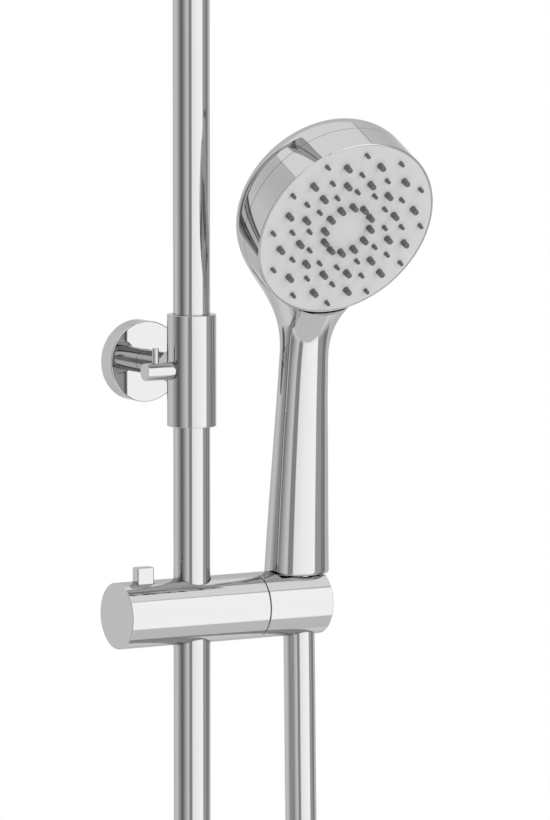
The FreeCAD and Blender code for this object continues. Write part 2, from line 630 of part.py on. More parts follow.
build_riser()
build_bracket()
build_clamp()
build_slider()
build_holder()
build_handset()
build_arm()
build_rain_head()
build_mixer()
build_hose()

os.makedirs("parts", exist_ok=True)
for name, shape in nodes.items():
    print(name, len(shape.Solids), round(shape.Volume), shape.isValid())
    shape.exportStep("parts/" + name + ".step")
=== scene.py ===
import math

import bpy
import numpy as np
from mathutils import Matrix, Vector


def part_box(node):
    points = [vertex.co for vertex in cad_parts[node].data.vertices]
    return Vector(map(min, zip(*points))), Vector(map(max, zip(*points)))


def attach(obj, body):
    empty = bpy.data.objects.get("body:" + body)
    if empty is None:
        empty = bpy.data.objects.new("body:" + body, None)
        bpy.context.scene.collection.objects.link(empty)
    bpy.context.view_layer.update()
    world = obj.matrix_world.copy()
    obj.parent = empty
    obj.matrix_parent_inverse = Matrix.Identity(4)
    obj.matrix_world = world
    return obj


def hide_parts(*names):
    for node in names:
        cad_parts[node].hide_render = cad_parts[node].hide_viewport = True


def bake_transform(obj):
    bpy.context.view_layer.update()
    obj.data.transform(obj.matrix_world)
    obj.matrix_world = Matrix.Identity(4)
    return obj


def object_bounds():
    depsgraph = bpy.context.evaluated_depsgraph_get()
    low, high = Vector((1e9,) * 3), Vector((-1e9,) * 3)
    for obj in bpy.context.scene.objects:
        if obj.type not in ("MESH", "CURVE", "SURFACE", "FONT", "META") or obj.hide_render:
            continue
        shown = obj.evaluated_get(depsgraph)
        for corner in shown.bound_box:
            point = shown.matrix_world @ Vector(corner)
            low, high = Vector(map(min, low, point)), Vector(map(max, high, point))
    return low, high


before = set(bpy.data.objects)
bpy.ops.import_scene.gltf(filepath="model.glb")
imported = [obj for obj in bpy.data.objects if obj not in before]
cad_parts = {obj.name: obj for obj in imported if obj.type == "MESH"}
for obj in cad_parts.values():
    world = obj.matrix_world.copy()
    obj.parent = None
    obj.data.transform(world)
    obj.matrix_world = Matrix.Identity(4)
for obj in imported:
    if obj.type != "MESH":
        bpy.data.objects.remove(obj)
cad_low, cad_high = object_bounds()


# The studio: a long lens to the left of the column and a little above it, a pale round floor
# well below, and a white room with one tall soft light on the right and grey cards beside it.
VIEW_AZIMUTH = -30.752
VIEW_DROP = 6.328
camera_data = bpy.data.cameras.new("camera")
camera = bpy.data.objects.new("camera", camera_data)
bpy.context.scene.collection.objects.link(camera)
camera_data.lens = 333.66
camera_data.sensor_width = 36.0
camera_data.clip_end = 60.0
camera.location = (-2.0463, -3.5872, 0.4302)
camera.rotation_euler = (math.radians(90 - VIEW_DROP), 0, math.radians(VIEW_AZIMUTH))
bpy.context.scene.camera = camera
bpy.context.scene.view_settings.view_transform = "Standard"


class Value:
    """A number that varies over a surface; sums on it add their Math nodes."""

    def __init__(self, nodes, socket):
        self.nodes = nodes
        self.socket = socket

    def __add__(self, other):
        return self.nodes.maths("ADD", self, other)

    def __sub__(self, other):
        return self.nodes.maths("SUBTRACT", self, other)

    def __rsub__(self, other):
        return self.nodes.maths("SUBTRACT", other, self)

    def __mul__(self, other):
        return self.nodes.maths("MULTIPLY", self, other)

    def __truediv__(self, other):
        return self.nodes.maths("DIVIDE", self, other)

    __radd__ = __add__
    __rmul__ = __mul__


class Nodes:
    """The shader tree of one finish, or of the studio."""

    def __init__(self, owner):
        owner.use_nodes = True
        self.tree = owner.node_tree
        self.tree.nodes.clear()

    def add(self, kind, settings, values, output=0):
        """One node: its settings first, then the numbers or links of its sockets."""
        node = self.tree.nodes.new(kind)
        for name, value in settings.items():
            if name == "stops":
                ramp = node.color_ramp
                ramp.elements[0].position = value[0][0]
                ramp.elements[-1].position = value[-1][0]
                for position, grey in value[1:-1]:
                    ramp.elements.new(position)
                for element, (position, grey) in zip(ramp.elements, value):
                    element.color = (grey, grey, grey, 1.0)
            else:
                setattr(node, name, value)
        for name, value in values.items():
            if isinstance(value, Value):
                self.tree.links.new(value.socket, node.inputs[name])
            else:
                node.inputs[name].default_value = value
        return Value(self, node.outputs[output]) if node.outputs else node

    def maths(self, operation, first, second=0.0, third=0.0):
        """One Math node."""
        return self.add("ShaderNodeMath", {"operation": operation}, {0: first, 1: second, 2: third})


studio = bpy.data.worlds.new("studio")
bpy.context.scene.world = studio
sky = Nodes(studio)
toward = sky.add("ShaderNodeTexCoord", {}, {}, "Generated")
east = sky.add("ShaderNodeSeparateXYZ", {}, {0: toward}, "X")
north = sky.add("ShaderNodeSeparateXYZ", {}, {0: toward}, "Y")
height = sky.add("ShaderNodeSeparateXYZ", {}, {0: toward}, "Z")
TO_DEGREES = 180 / math.pi
bearing = sky.maths("ARCTAN2", east, north * -1.0) * TO_DEGREES
turn = sky.maths("WRAP", bearing - VIEW_AZIMUTH, 180.0, -180.0)
rise = sky.maths("ARCSINE", height) * TO_DEGREES
# Brightness round the room, by degrees to the right of the camera: cards, a gap, the soft light.
ROUND = [(-180, 1.0), (-108, 1.0), (-88, 0.62), (-66, 0.20), (-58, 0.24), (-26, 0.98), (-17, 0.98),
         (-15, 0.42), (1.5, 0.42), (3.5, 1.40), (30, 1.58), (73, 1.70), (75, 0.58), (98, 0.56),
         (101, 0.36), (121, 0.36), (124, 0.90), (140, 1.0), (180, 1.0)]
# The same by height: where the cards and the light end, and the plain room above and below them.
BAND = [(-90, 0.0), (-48, 0.0), (-36, 1.0), (42, 1.0), (43.5, 0.0), (90, 0.0)]
ROOM = [(-90, 1.12), (-30, 1.15), (42.2, 1.25), (43.2, 0.75), (44.2, 0.75), (45.5, 1.25), (90, 1.2)]
BRIGHTEST = 1.7
around = sky.add("ShaderNodeValToRGB", {"stops": [((a + 180) / 360, g / BRIGHTEST) for a, g in ROUND]},
                 {"Fac": (turn + 180.0) / 360.0}) * BRIGHTEST
inside = sky.add("ShaderNodeValToRGB", {"stops": [((a + 90) / 180, g) for a, g in BAND]},
                 {"Fac": (rise + 90.0) / 180.0})
beyond = sky.add("ShaderNodeValToRGB", {"stops": [((a + 90) / 180, g / BRIGHTEST) for a, g in ROOM]},
                 {"Fac": (rise + 90.0) / 180.0}) * BRIGHTEST
light = sky.add("ShaderNodeBackground", {}, {"Color": inside * around + (1.0 - inside) * beyond})
sky.add("ShaderNodeOutputWorld", {}, {"Surface": light})

FLOOR_DROP = 0.12
FLOOR_R = 1.1
bpy.ops.object.select_all(action="DESELECT")
bpy.ops.mesh.primitive_circle_add(vertices=96, radius=FLOOR_R, fill_type="NGON",
                                  location=(0, -0.6, cad_low.z - FLOOR_DROP))
floor = bpy.context.object
floor.name = "floor"
bpy.ops.object.transform_apply(location=True, rotation=True, scale=True)
floor_paint = bpy.data.materials.new("floor_paint")
paint = Nodes(floor_paint)
cloud = paint.add("ShaderNodeTexNoise", {}, {"Scale": 3.0, "Detail": 2.0})
coat = paint.add("ShaderNodeBsdfPrincipled", {}, {"Base Color": (0.86, 0.86, 0.85, 1.0),
                                                  "Roughness": cloud * 0.1 + 0.7})
paint.add("ShaderNodeOutputMaterial", {}, {"Surface": coat})
floor.data.materials.append(floor_paint)


# The hose: 1.5 m of smooth silver PVC over a woven core, 17 mm thick, in three lengths that meet
# end to end. It hangs from the cone under the handset and comes up into the mixer's outlet, where
# a brass nut, chrome plated, clamps its ferrule.
HOSE_R = 0.0086
riser_low, riser_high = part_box("riser_pipe")
RISER = Vector(((riser_low.x + riser_high.x) / 2, (riser_low.y + riser_high.y) / 2, 0))
outlet_low, outlet_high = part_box("hose_nut")
OUTLET = Vector(((outlet_low.x + outlet_high.x) / 2, RISER.y, 0))

hose_skin = bpy.data.materials.new("hose_skin")
skin = Nodes(hose_skin)
place = skin.add("ShaderNodeTexCoord", {}, {}, "Object")
haze = skin.add("ShaderNodeTexNoise", {}, {"Vector": place, "Scale": 60.0, "Detail": 3.0})
coat = skin.add("ShaderNodeBsdfPrincipled", {}, {
    "Base Color": (0.51, 0.51, 0.515, 1.0), "Metallic": 1.0, "Roughness": haze * 0.04 + 0.07,
    "Specular Tint": (0.70, 0.70, 0.70, 1.0), "Coat Weight": 0.15, "Coat Roughness": 0.05})
skin.add("ShaderNodeOutputMaterial", {}, {"Surface": coat})

upper_route = [(0.0675, -0.0600, -0.1431), (0.0677, -0.0606, -0.1770), (0.0671, -0.0622, -0.2210),
               (0.0659, -0.0654, -0.2730)]
drop_route = [(0.0659, -0.0654, -0.2730), (0.0647, -0.0686, -0.3250), (0.0630, -0.0800, -0.3850),
              (0.0630, -0.0890, -0.4520), (0.0635, -0.0960, -0.5200), (0.0650, -0.1015, -0.5880),
              (0.0665, -0.1055, -0.6560), (0.0680, -0.1075, -0.7240), (0.0695, -0.1080, -0.7920),
              (0.0715, -0.1065, -0.8600), (0.0750, -0.1035, -0.9280), (0.0795, -0.1000, -0.9960),
              (0.0835, -0.0965, -1.0620)]
rise_route = [(0.0835, -0.0965, -1.0620), (0.0865, -0.0939, -1.1115), (0.0600, -0.0890, -1.1600),
              (0.0195, -0.0845, -1.1860), (-0.0275, -0.0795, -1.1870), (-0.0680, -0.0750, -1.1630),
              (-0.0920, -0.0710, -1.1210), (-0.0930, -0.0675, -1.0680), (-0.0890, -0.0645, -1.0140),
              (-0.0830, -0.0620, -0.9600), (-0.0765, -0.0605, -0.9060), (-0.0710, -0.0602, -0.8660),
              (-0.0700, -0.0600, -0.8291)]


def hose_length(name, route):
    """One length of hose: a smooth line through its route, made into a closed tube."""
    curve = bpy.data.curves.new(name, "CURVE")
    curve.dimensions = "3D"
    line = curve.splines.new("NURBS")
    line.points.add(len(route) - 1)
    for point, spot in zip(line.points, route):
        point.co = (*spot, 1.0)
    line.order_u = 3
    line.use_endpoint_u = True
    line.resolution_u = 16
    piece = bpy.data.objects.new(name + "_tube", curve)
    bpy.context.scene.collection.objects.link(piece)
    bpy.context.view_layer.update()
    path = [tuple(v.co) for v in bpy.data.meshes.new_from_object(piece).vertices]
    curve.bevel_depth = HOSE_R
    curve.bevel_resolution = 14
    curve.use_fill_caps = True
    bpy.ops.object.select_all(action="DESELECT")
    piece.select_set(True)
    bpy.context.view_layer.objects.active = piece
    bpy.ops.object.convert(target="MESH")
    piece = bpy.context.object
    bpy.ops.object.mode_set(mode="EDIT")
    bpy.ops.mesh.select_all(action="SELECT")
    bpy.ops.mesh.remove_doubles(threshold=1e-6)
    bpy.ops.mesh.normals_make_consistent(inside=False)
    bpy.ops.object.mode_set(mode="OBJECT")
    bpy.ops.object.shade_smooth_by_angle(angle=math.radians(40))
    piece.data.materials.clear()
    piece.data.materials.append(hose_skin)
    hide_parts(name)
    return piece, path


chrome = bpy.data.materials.new("chrome")
plate = Nodes(chrome)
place = plate.add("ShaderNodeTexCoord", {}, {}, "Object")
smear = plate.add("ShaderNodeTexNoise", {}, {"Vector": place, "Scale": 35.0, "Detail": 4.0})
coat = plate.add("ShaderNodeBsdfPrincipled", {}, {
    "Base Color": (0.508, 0.510, 0.513, 1.0), "Metallic": 1.0, "Roughness": smear * 0.03 + 0.012,
    "Specular Tint": (0.69, 0.69, 0.69, 1.0)})
plate.add("ShaderNodeOutputMaterial", {}, {"Surface": coat})


def shaded(piece):
    """Shades curves smooth, and lets each large face keep its own gloss up to its edges."""
    bpy.ops.object.shade_smooth_by_angle(angle=math.radians(33))
    weight = piece.modifiers.new("weight", "WEIGHTED_NORMAL")
    weight.mode = "FACE_AREA"
    weight.weight = 100
    weight.keep_sharp = True
    bpy.ops.object.modifier_apply(modifier=weight.name)


def finished(piece, edge):
    """Rounds the sharp edges of a piece by a small radius and shades its curves smooth."""
    if edge > 0:
        rounding = piece.modifiers.new("edges", "BEVEL")
        rounding.width = edge
        rounding.segments = 3
        rounding.limit_method = "ANGLE"
        rounding.angle_limit = math.radians(34)
        bpy.ops.object.modifier_apply(modifier=rounding.name)
    shaded(piece)
    return piece


def placed(piece, start, axis):
    """Turns a piece from Z to its axis, moves it to its start, and keeps that in its mesh."""
    way = Vector((0, 0, 1)).rotation_difference(Vector(axis)).to_matrix().to_4x4()
    piece.matrix_world = Matrix.Translation(Vector(start)) @ way
    bpy.ops.object.transform_apply(location=True, rotation=True, scale=True)
    return piece


def turned(name, profile, start, axis, sides=128, edge=0.0):
    """A round piece: a circle drawn out along its axis from one (radius, height) to the next.
    A profile that comes back to its first point is a ring; any other has both ends closed."""
    bpy.ops.object.select_all(action="DESELECT")
    bpy.ops.mesh.primitive_circle_add(vertices=sides, radius=profile[0][0])
    piece = bpy.context.object
    piece.name = name
    bpy.ops.object.mode_set(mode="EDIT")
    bpy.ops.mesh.select_all(action="SELECT")
    bpy.ops.transform.translate(value=(0, 0, profile[0][1]))
    for (r0, h0), (r1, h1) in zip(profile, profile[1:]):
        bpy.ops.mesh.extrude_region_move(TRANSFORM_OT_translate={"value": (0, 0, h1 - h0)})
        bpy.ops.transform.resize(value=(r1 / r0, r1 / r0, 1), center_override=(0, 0, h1))
    bpy.ops.mesh.select_all(action="SELECT")
    bpy.ops.mesh.remove_doubles(threshold=2e-6)
    bpy.ops.mesh.fill_holes(sides=0)
    bpy.ops.mesh.select_all(action="SELECT")
    bpy.ops.mesh.normals_make_consistent(inside=False)
    bpy.ops.object.mode_set(mode="OBJECT")
    placed(piece, start, axis)
    return finished(piece, edge)


def fitted(piece, finish, slot, body, *nodes):
    """Gives a piece its finish, fixes it to a body, and lets it stand for its nodes."""
    piece.data.materials.clear()
    piece.data.materials.append(finish)
    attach(piece, body)
    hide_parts(*nodes)
    return piece


NUT_R = (outlet_high.x - outlet_low.x) / 2
outlet_nut = turned("outlet_nut", [
    (0.01025, outlet_high.z), (NUT_R - 0.0006, outlet_high.z), (NUT_R - 0.0006, outlet_high.z - 0.0004),
    (NUT_R, outlet_high.z - 0.001), (NUT_R, outlet_high.z - 0.0145), (0.0108, outlet_low.z),
    (0.0088, outlet_low.z), (0.0088, outlet_high.z - 0.0095), (0.01025, outlet_high.z - 0.0095),
    (0.01025, outlet_high.z)], OUTLET, (0, 0, 1), 96, 0.0002)
fitted(outlet_nut, chrome, "chrome", "column", "hose_nut")

hose_rise, rise_path = hose_length("hose_rise", rise_route)
hose_drop, drop_path = hose_length("hose_drop", drop_route)
hose_upper, upper_path = hose_length("hose_upper", upper_route)
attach(hose_rise, "column")
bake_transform(hose_drop)
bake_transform(hose_upper)


# The riser: a 20 mm brass tube with a 1.2 mm wall, drawn, polished and chrome plated.
# It stands in the mixer's neck and ends inside the union that carries the overhead arm.
PIPE_R = (riser_high.x - riser_low.x) / 2
PIPE_WALL = 0.0012
PIPE_BORE = PIPE_R - PIPE_WALL
riser = turned("riser_tube", [(PIPE_BORE, riser_low.z), (PIPE_R, riser_low.z), (PIPE_R, riser_high.z),
                              (PIPE_BORE, riser_high.z), (PIPE_BORE, riser_low.z)], RISER, (0, 0, 1), 192)
fitted(riser, chrome, "chrome", "column", "riser_pipe")


# The wall rosette: a pressed brass cup, chrome plated, that slides along the bracket arm
# and hides the screwed steel anchor plate behind it.
cup_low, cup_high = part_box("wall_escutcheon")
CUP_R = (cup_high.x - cup_low.x) / 2
CUP_DEPTH = cup_high.y - cup_low.y
RIM = 0.0014
ARM_R = 0.0067
ARM_HOLE = ARM_R + 0.0001
CUP_EDGE = 0.0007
cup_corner = [(CUP_R - CUP_EDGE * (1 - math.sin(a)), CUP_DEPTH - CUP_EDGE * (1 - math.cos(a)))
              for a in (0.0, math.pi / 8, math.pi / 4, 3 * math.pi / 8, math.pi / 2)]
rosette = turned("wall_rosette", [(ARM_HOLE, CUP_DEPTH)] + cup_corner + [
    (CUP_R, 0.0), (CUP_R - RIM, 0.0), (CUP_R - RIM, CUP_DEPTH - 0.0016),
    (ARM_HOLE, CUP_DEPTH - 0.0016), (ARM_HOLE, CUP_DEPTH)], (0, cup_high.y, 0), (0, -1, 0), 192)
fitted(rosette, chrome, "chrome", "column", "wall_escutcheon")


def plain_finish(name, colour, roughness, grain, relief, metallic=0.0):
    """A moulded, cast or machined finish with a fine grain in its gloss and relief."""
    material = bpy.data.materials.new(name)
    finish = Nodes(material)
    spot = finish.add("ShaderNodeTexCoord", {}, {}, "Object")
    speck = finish.add("ShaderNodeTexNoise", {}, {"Vector": spot, "Scale": grain, "Detail": 3.0})
    bump = finish.add("ShaderNodeBump", {}, {"Height": speck, "Strength": relief, "Distance": 0.0001})
    body = finish.add("ShaderNodeBsdfPrincipled", {}, {
        "Base Color": (*colour, 1.0), "Metallic": metallic, "Roughness": speck * 0.12 + (roughness - 0.06),
        "Normal": bump})
    finish.add("ShaderNodeOutputMaterial", {}, {"Surface": body})
    return material


def dressed(finish, *nodes):
    """Gives a finish to pieces whose CAD shape stays."""
    for node in nodes:
        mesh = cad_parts[node].data
        for slot in range(len(mesh.materials)):
            mesh.materials[slot] = finish


steel = plain_finish("steel", (0.46, 0.46, 0.47), 0.25, 800.0, 0.3, 1.0)
dressed(steel, "wall_anchor_plate", "arm_grub_screw", "union_grub_screw")


# The bracket: a turned brass arm with a collar, brazed to the sleeve that the riser slides through.
# The arm's tail is held in the anchor plate by a grub screw.
arm_low, arm_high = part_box("bracket_arm")
sleeve_low, sleeve_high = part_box("bracket_sleeve")
SLEEVE_R = (sleeve_high.x - sleeve_low.x) / 2
SLEEVE_BORE = PIPE_R + 0.00005
COLLAR_R = (arm_high.x - arm_low.x) / 2
COLLAR_BACK = 0.040
COLLAR_FRONT = 0.048
CHAMFER = 0.0007
bracket_bar = turned("bracket_bar", [
    (ARM_R, -arm_high.y), (ARM_R, COLLAR_BACK), (COLLAR_R - CHAMFER, COLLAR_BACK),
    (COLLAR_R, COLLAR_BACK + CHAMFER), (COLLAR_R, COLLAR_FRONT), (ARM_R, COLLAR_FRONT),
    (ARM_R, COLLAR_FRONT + 0.001)], (0, 0, 0), (0, -1, 0), 128)
fitted(bracket_bar, chrome, "chrome", "column", "bracket_arm")


def combined(piece, operation, *others):
    """Cuts other shapes out of a piece, or adds them to it, and clears them away."""
    bpy.ops.object.select_all(action="DESELECT")
    bpy.context.view_layer.objects.active = piece
    piece.select_set(True)
    for other in others:
        change = piece.modifiers.new("change", "BOOLEAN")
        change.operation = operation
        change.solver = "EXACT"
        change.object = other
        bpy.ops.object.modifier_apply(modifier=change.name)
        bpy.data.objects.remove(other)
    shaded(piece)
    return piece


sleeve = turned("riser_sleeve", [
    (SLEEVE_BORE, sleeve_low.z), (SLEEVE_R, sleeve_low.z), (SLEEVE_R, sleeve_high.z),
    (SLEEVE_BORE, sleeve_high.z), (SLEEVE_BORE, sleeve_low.z)], RISER, (0, 0, 1), 192, 0.0004)
screw_low, screw_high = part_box("clamp_screw")
BARREL_R = (screw_high.z - screw_low.z) / 2
screw_seat = turned("screw_seat", [(BARREL_R + 0.0001, SLEEVE_R - 0.0009), (BARREL_R + 0.0001, 0.02)],
                    RISER, (-1, 0, 0), 96)
combined(sleeve, "DIFFERENCE", screw_seat)
fitted(sleeve, chrome, "chrome", "column", "bracket_sleeve")


# The clamp screw: a short turned brass barrel with a cross pin to grip it by, both chrome plated.
# Its thread runs through the sleeve and presses on the riser.
pin_low, pin_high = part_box("clamp_pin")
THREAD_R = 0.003
SHOULDER = SLEEVE_R - 0.0008
BARREL_EDGE = 0.0005
clamp = turned("clamp_barrel", [
    (THREAD_R, -screw_high.x), (THREAD_R, SHOULDER), (BARREL_R, SHOULDER),
    (BARREL_R, -screw_low.x - BARREL_EDGE), (BARREL_R - 0.3 * BARREL_EDGE, -screw_low.x - 0.3 * BARREL_EDGE),
    (BARREL_R - BARREL_EDGE, -screw_low.x)], RISER, (-1, 0, 0), 96)
fitted(clamp, chrome, "chrome", "clamp", "clamp_screw")
PIN_R = (pin_high.x - pin_low.x) / 2
pin = turned("clamp_cross_pin", [(PIN_R, pin_low.z), (PIN_R, pin_high.z)],
             ((pin_high.x + pin_low.x) / 2, RISER.y, 0), (0, 0, 1), 64, 0.0004)
fitted(pin, chrome, "chrome", "clamp", "clamp_pin")


# The slider: a moulded ABS barrel, chrome plated, that runs on the riser on a plastic liner.
# Its closed end holds the brake and its button; its open end carries the swivelling holder.
slider_low, slider_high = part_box("slider_body")
holder_low, holder_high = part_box("holder_body")
button_low, button_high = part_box("release_button")
nut_low, nut_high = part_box("hose_cone_nut")
SLIDER_R = (slider_high.z - slider_low.z) / 2
SLIDER_Z = (slider_high.z + slider_low.z) / 2
SLIDER = Vector((0, RISER.y, SLIDER_Z))
LINER_ROOM = 0.0122
LINER_HALF = 0.01305
EDGE = 0.0004


def block(name, low, high, edge):
    """A box between two corners, drawn up from its base, with rounded edges."""
    bpy.ops.object.select_all(action="DESELECT")
    bpy.ops.mesh.primitive_plane_add(size=1.0)
    piece = bpy.context.object
    piece.name = name
    size = high - low
    bpy.ops.object.mode_set(mode="EDIT")
    bpy.ops.mesh.select_all(action="SELECT")
    bpy.ops.transform.resize(value=(size.x, size.y, 1), center_override=(0, 0, 0))
    bpy.ops.mesh.extrude_region_move(TRANSFORM_OT_translate={"value": (0, 0, size.z)})
    bpy.ops.mesh.select_all(action="SELECT")
    bpy.ops.mesh.normals_make_consistent(inside=False)
    bpy.ops.object.mode_set(mode="OBJECT")
    placed(piece, ((low.x + high.x) / 2, (low.y + high.y) / 2, low.z), (0, 0, 1))
    return finished(piece, edge)


slider = turned("slider_barrel", [(SLIDER_R, slider_low.x), (SLIDER_R, slider_high.x)],
                SLIDER, (1, 0, 0), 192, EDGE)
BORE_MOUTH = PIPE_R + 0.00035
riser_bore = turned("riser_bore", [
    (BORE_MOUTH, -0.03), (BORE_MOUTH, -LINER_HALF), (LINER_ROOM, -LINER_HALF), (LINER_ROOM, LINER_HALF),
    (BORE_MOUTH, LINER_HALF), (BORE_MOUTH, 0.03)], SLIDER, (0, 0, 1), 128)
clearance = Vector((0.00025, 0.00025, 0.0))
pocket = block("button_pocket", button_low - clearance, button_high + clearance, 0)
combined(slider, "DIFFERENCE", riser_bore, pocket)
fitted(slider, chrome, "chromed_plastic", "slider", "slider_body")
white_plastic = plain_finish("white_plastic", (0.82, 0.82, 0.80), 0.40, 900.0, 0.3)
brass = plain_finish("brass", (0.62, 0.43, 0.17), 0.28, 700.0, 0.2, 1.0)
dressed(white_plastic, "slider_liner", "friction_washer")
dressed(brass, "swivel_spindle")


# The brake: pressing the square ABS button draws a plastic shoe off the riser against a coil spring,
# and a second coil lifts the button again. Both coils are wound from spring steel wire.
button = block("brake_button", button_low, button_high, 0.0009)
fitted(button, chrome, "chromed_plastic", "button", "release_button")
dressed(white_plastic, "brake_shoe")
spring_steel = plain_finish("spring_steel", (0.40, 0.40, 0.42), 0.30, 900.0, 0.2, 1.0)


def coil(name, node, wire, turns, axis):
    """A coil spring, screwed round its axis from a small circle of wire."""
    low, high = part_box(node)
    long = max(high - low)
    radius = min(high - low) / 2 - wire
    bpy.ops.object.select_all(action="DESELECT")
    bpy.ops.mesh.primitive_circle_add(vertices=10, radius=wire, location=(radius, 0, wire),
                                      rotation=(math.pi / 2, 0, 0))
    piece = bpy.context.object
    piece.name = name
    bpy.ops.object.transform_apply(location=True, rotation=True, scale=True)
    climb = piece.modifiers.new("climb", "SCREW")
    climb.axis = "Z"
    climb.angle = 2 * math.pi * turns
    climb.screw_offset = long - 2 * wire
    climb.steps = 24 * turns
    climb.render_steps = 24 * turns
    bpy.ops.object.modifier_apply(modifier=climb.name)
    bpy.ops.object.mode_set(mode="EDIT")
    bpy.ops.mesh.select_all(action="SELECT")
    bpy.ops.mesh.fill_holes(sides=0)
    bpy.ops.mesh.select_all(action="SELECT")
    bpy.ops.mesh.normals_make_consistent(inside=False)
    bpy.ops.object.mode_set(mode="OBJECT")
    placed(piece, (low + high) / 2 - Vector(axis) * long / 2, axis)
    finished(piece, 0)
    fitted(piece, spring_steel, "spring_steel", "slider", node)


coil("brake_coil", "brake_spring", 0.00045, 6, (1, 0, 0))
coil("button_coil", "button_spring", 0.0003, 7, (0, 0, 1))


# The holder: the slider's outer end, moulded and plated like it, which swivels on a brass spindle.
# Its tapered bore has a white insert that grips the chromed cone nut on the hose's upper end.
SOCKET = Vector(((nut_low.x + nut_high.x) / 2, RISER.y, SLIDER_Z))
TAPER = (0.0120 - 0.0099) / 0.032
BORE_HALF = 0.020
BORE_R = 0.00995
SEAT_Z = 0.0150
SEAT_R = 0.0195
holder = turned("holder_barrel", [(SLIDER_R, holder_low.x), (SLIDER_R, holder_high.x)],
                SLIDER, (1, 0, 0), 192, EDGE)
cone_bore = turned("cone_bore", [(BORE_R - TAPER * BORE_HALF, -BORE_HALF),
                                 (BORE_R + TAPER * BORE_HALF, BORE_HALF)], SOCKET, (0, 0, 1), 128)
handset_seat = turned("handset_seat", [(SEAT_R, SEAT_Z), (SEAT_R, SLIDER_R + 0.001)],
                      SOCKET, (0, 0, 1), 128)
combined(holder, "DIFFERENCE", cone_bore, handset_seat)
fitted(holder, chrome, "chromed_plastic", "holder", "holder_body")
insert_low, insert_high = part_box("holder_insert")
INSERT_R = (insert_high.x - insert_low.x) / 2 - 0.0010
INSERT_LOW_R = INSERT_R - TAPER * (insert_high.z - insert_low.z)
INSERT_WALL = 0.0009
insert = turned("cone_insert", [
    (INSERT_LOW_R, insert_low.z), (INSERT_R, insert_high.z), (INSERT_R - INSERT_WALL, insert_high.z),
    (INSERT_LOW_R - INSERT_WALL, insert_low.z), (INSERT_LOW_R, insert_low.z)],
    (SOCKET.x, SOCKET.y, 0), (0, 0, 1), 96)
fitted(insert, white_plastic, "white_plastic", "holder", "holder_insert")
CONE_R = (nut_high.x - nut_low.x) / 2 - 0.0010
CONE_LOW_R = CONE_R - TAPER * (nut_high.z - nut_low.z)
cone_nut = turned("hose_cone", [
    (0.0087, nut_high.z), (CONE_R, nut_high.z), (CONE_LOW_R, nut_low.z), (0.0067, nut_low.z),
    (0.0067, nut_high.z - 0.011), (0.0087, nut_high.z - 0.011), (0.0087, nut_high.z)],
    (SOCKET.x, SOCKET.y, 0), (0, 0, 1), 96, 0.0002)
fitted(cone_nut, chrome, "chrome", "holder", "hose_cone_nut")
black_rubber = plain_finish("black_rubber", (0.025, 0.025, 0.027), 0.60, 1400.0, 0.5)
dressed(brass, "hose_ferrule", "outlet_ferrule")
dressed(black_rubber, "hose_seal", "outlet_seal")


# The handset's shell: handle and back of the head moulded as one in ABS and chrome plated. The oval
# handle narrows upwards, leans forward, and flows with a wide fillet into the thick round head.
FACE_R = 0.0529
TILT = math.radians(26.9)
OUT = Vector((0, -math.cos(TILT), -math.sin(TILT)))
FACE = SOCKET + Vector((0, -0.0495, 0.2078))
SEAM = -0.0170
HEAD_DEPTH = 0.0390
BACK_ROUND = 0.016
FILLET = 0.034
BASE_ROUND = 0.0016
INLET_R = 0.0090
GAP = 0.0003
# Handle from its base up: height over the slider, centre, half width and half depth.
HANDLE = [(0.0154, 0.0026, 0.0184, 0.0157), (0.045, 0.0010, 0.0173, 0.0146),
          (0.080, -0.0013, 0.0159, 0.0133), (0.115, -0.0036, 0.0144, 0.0123),
          (0.145, -0.0060, 0.0135, 0.0120), (0.172, -0.0085, 0.0135, 0.0120),
          (0.190, -0.0130, 0.0135, 0.0110)]


def handle_at(level):
    """Centre, half width and half depth of the handle at given heights, without corners."""
    rows = np.array(HANDLE)
    here = np.clip(np.searchsorted(rows[:, 0], level) - 1, 0, len(rows) - 2)
    before = np.maximum(here - 1, 0)
    after = np.minimum(here + 2, len(rows) - 1)
    span = (rows[here + 1, 0] - rows[here, 0])[:, None]
    t = np.clip((level - rows[here, 0])[:, None] / span, 0, 1)
    start = rows[here, 1:]
    end = rows[here + 1, 1:]
    leave = (end - rows[before, 1:]) / (rows[here + 1, 0] - rows[before, 0])[:, None] * span
    arrive = (rows[after, 1:] - start) / (rows[after, 0] - rows[here, 0])[:, None] * span
    return ((2 * t**3 - 3 * t**2 + 1) * start + (t**3 - 2 * t**2 + t) * leave
            + (3 * t**2 - 2 * t**3) * end + (t**3 - t**2) * arrive).T


def rounded(side, end, radius):
    """Distance from a form that two distances bound, its corner rounded."""
    a = side + radius
    b = end + radius
    return np.minimum(np.maximum(a, b), 0) + np.hypot(np.maximum(a, 0), np.maximum(b, 0)) - radius


def shell_form(points):
    """Distance from the shell's outside: handle and head, joined with a soft fillet."""
    x, y, z = (points - np.array(SOCKET)).T
    centre, wide, deep = handle_at(z)
    ring = np.hypot(x / wide, (y - centre) / deep)
    slope = np.hypot(x / wide**2, (y - centre) / deep**2) / np.maximum(ring, 1e-6)
    handle = rounded((ring - 1) / np.maximum(slope, 1e-6), HANDLE[0][0] - z, BASE_ROUND)
    handle = np.maximum(handle, z - HANDLE[-1][0])
    from_face = points - np.array(FACE)
    out = from_face @ np.array(OUT)
    across = np.sqrt(np.maximum((from_face**2).sum(1) - out**2, 0))
    middle = -HEAD_DEPTH / 2
    head = rounded(across - FACE_R, np.abs(out - middle) + middle, BACK_ROUND)
    mix = np.clip(0.5 + 0.5 * (head - handle) / FILLET, 0, 1)
    return head * (1 - mix) + handle * mix - FILLET * mix * (1 - mix)


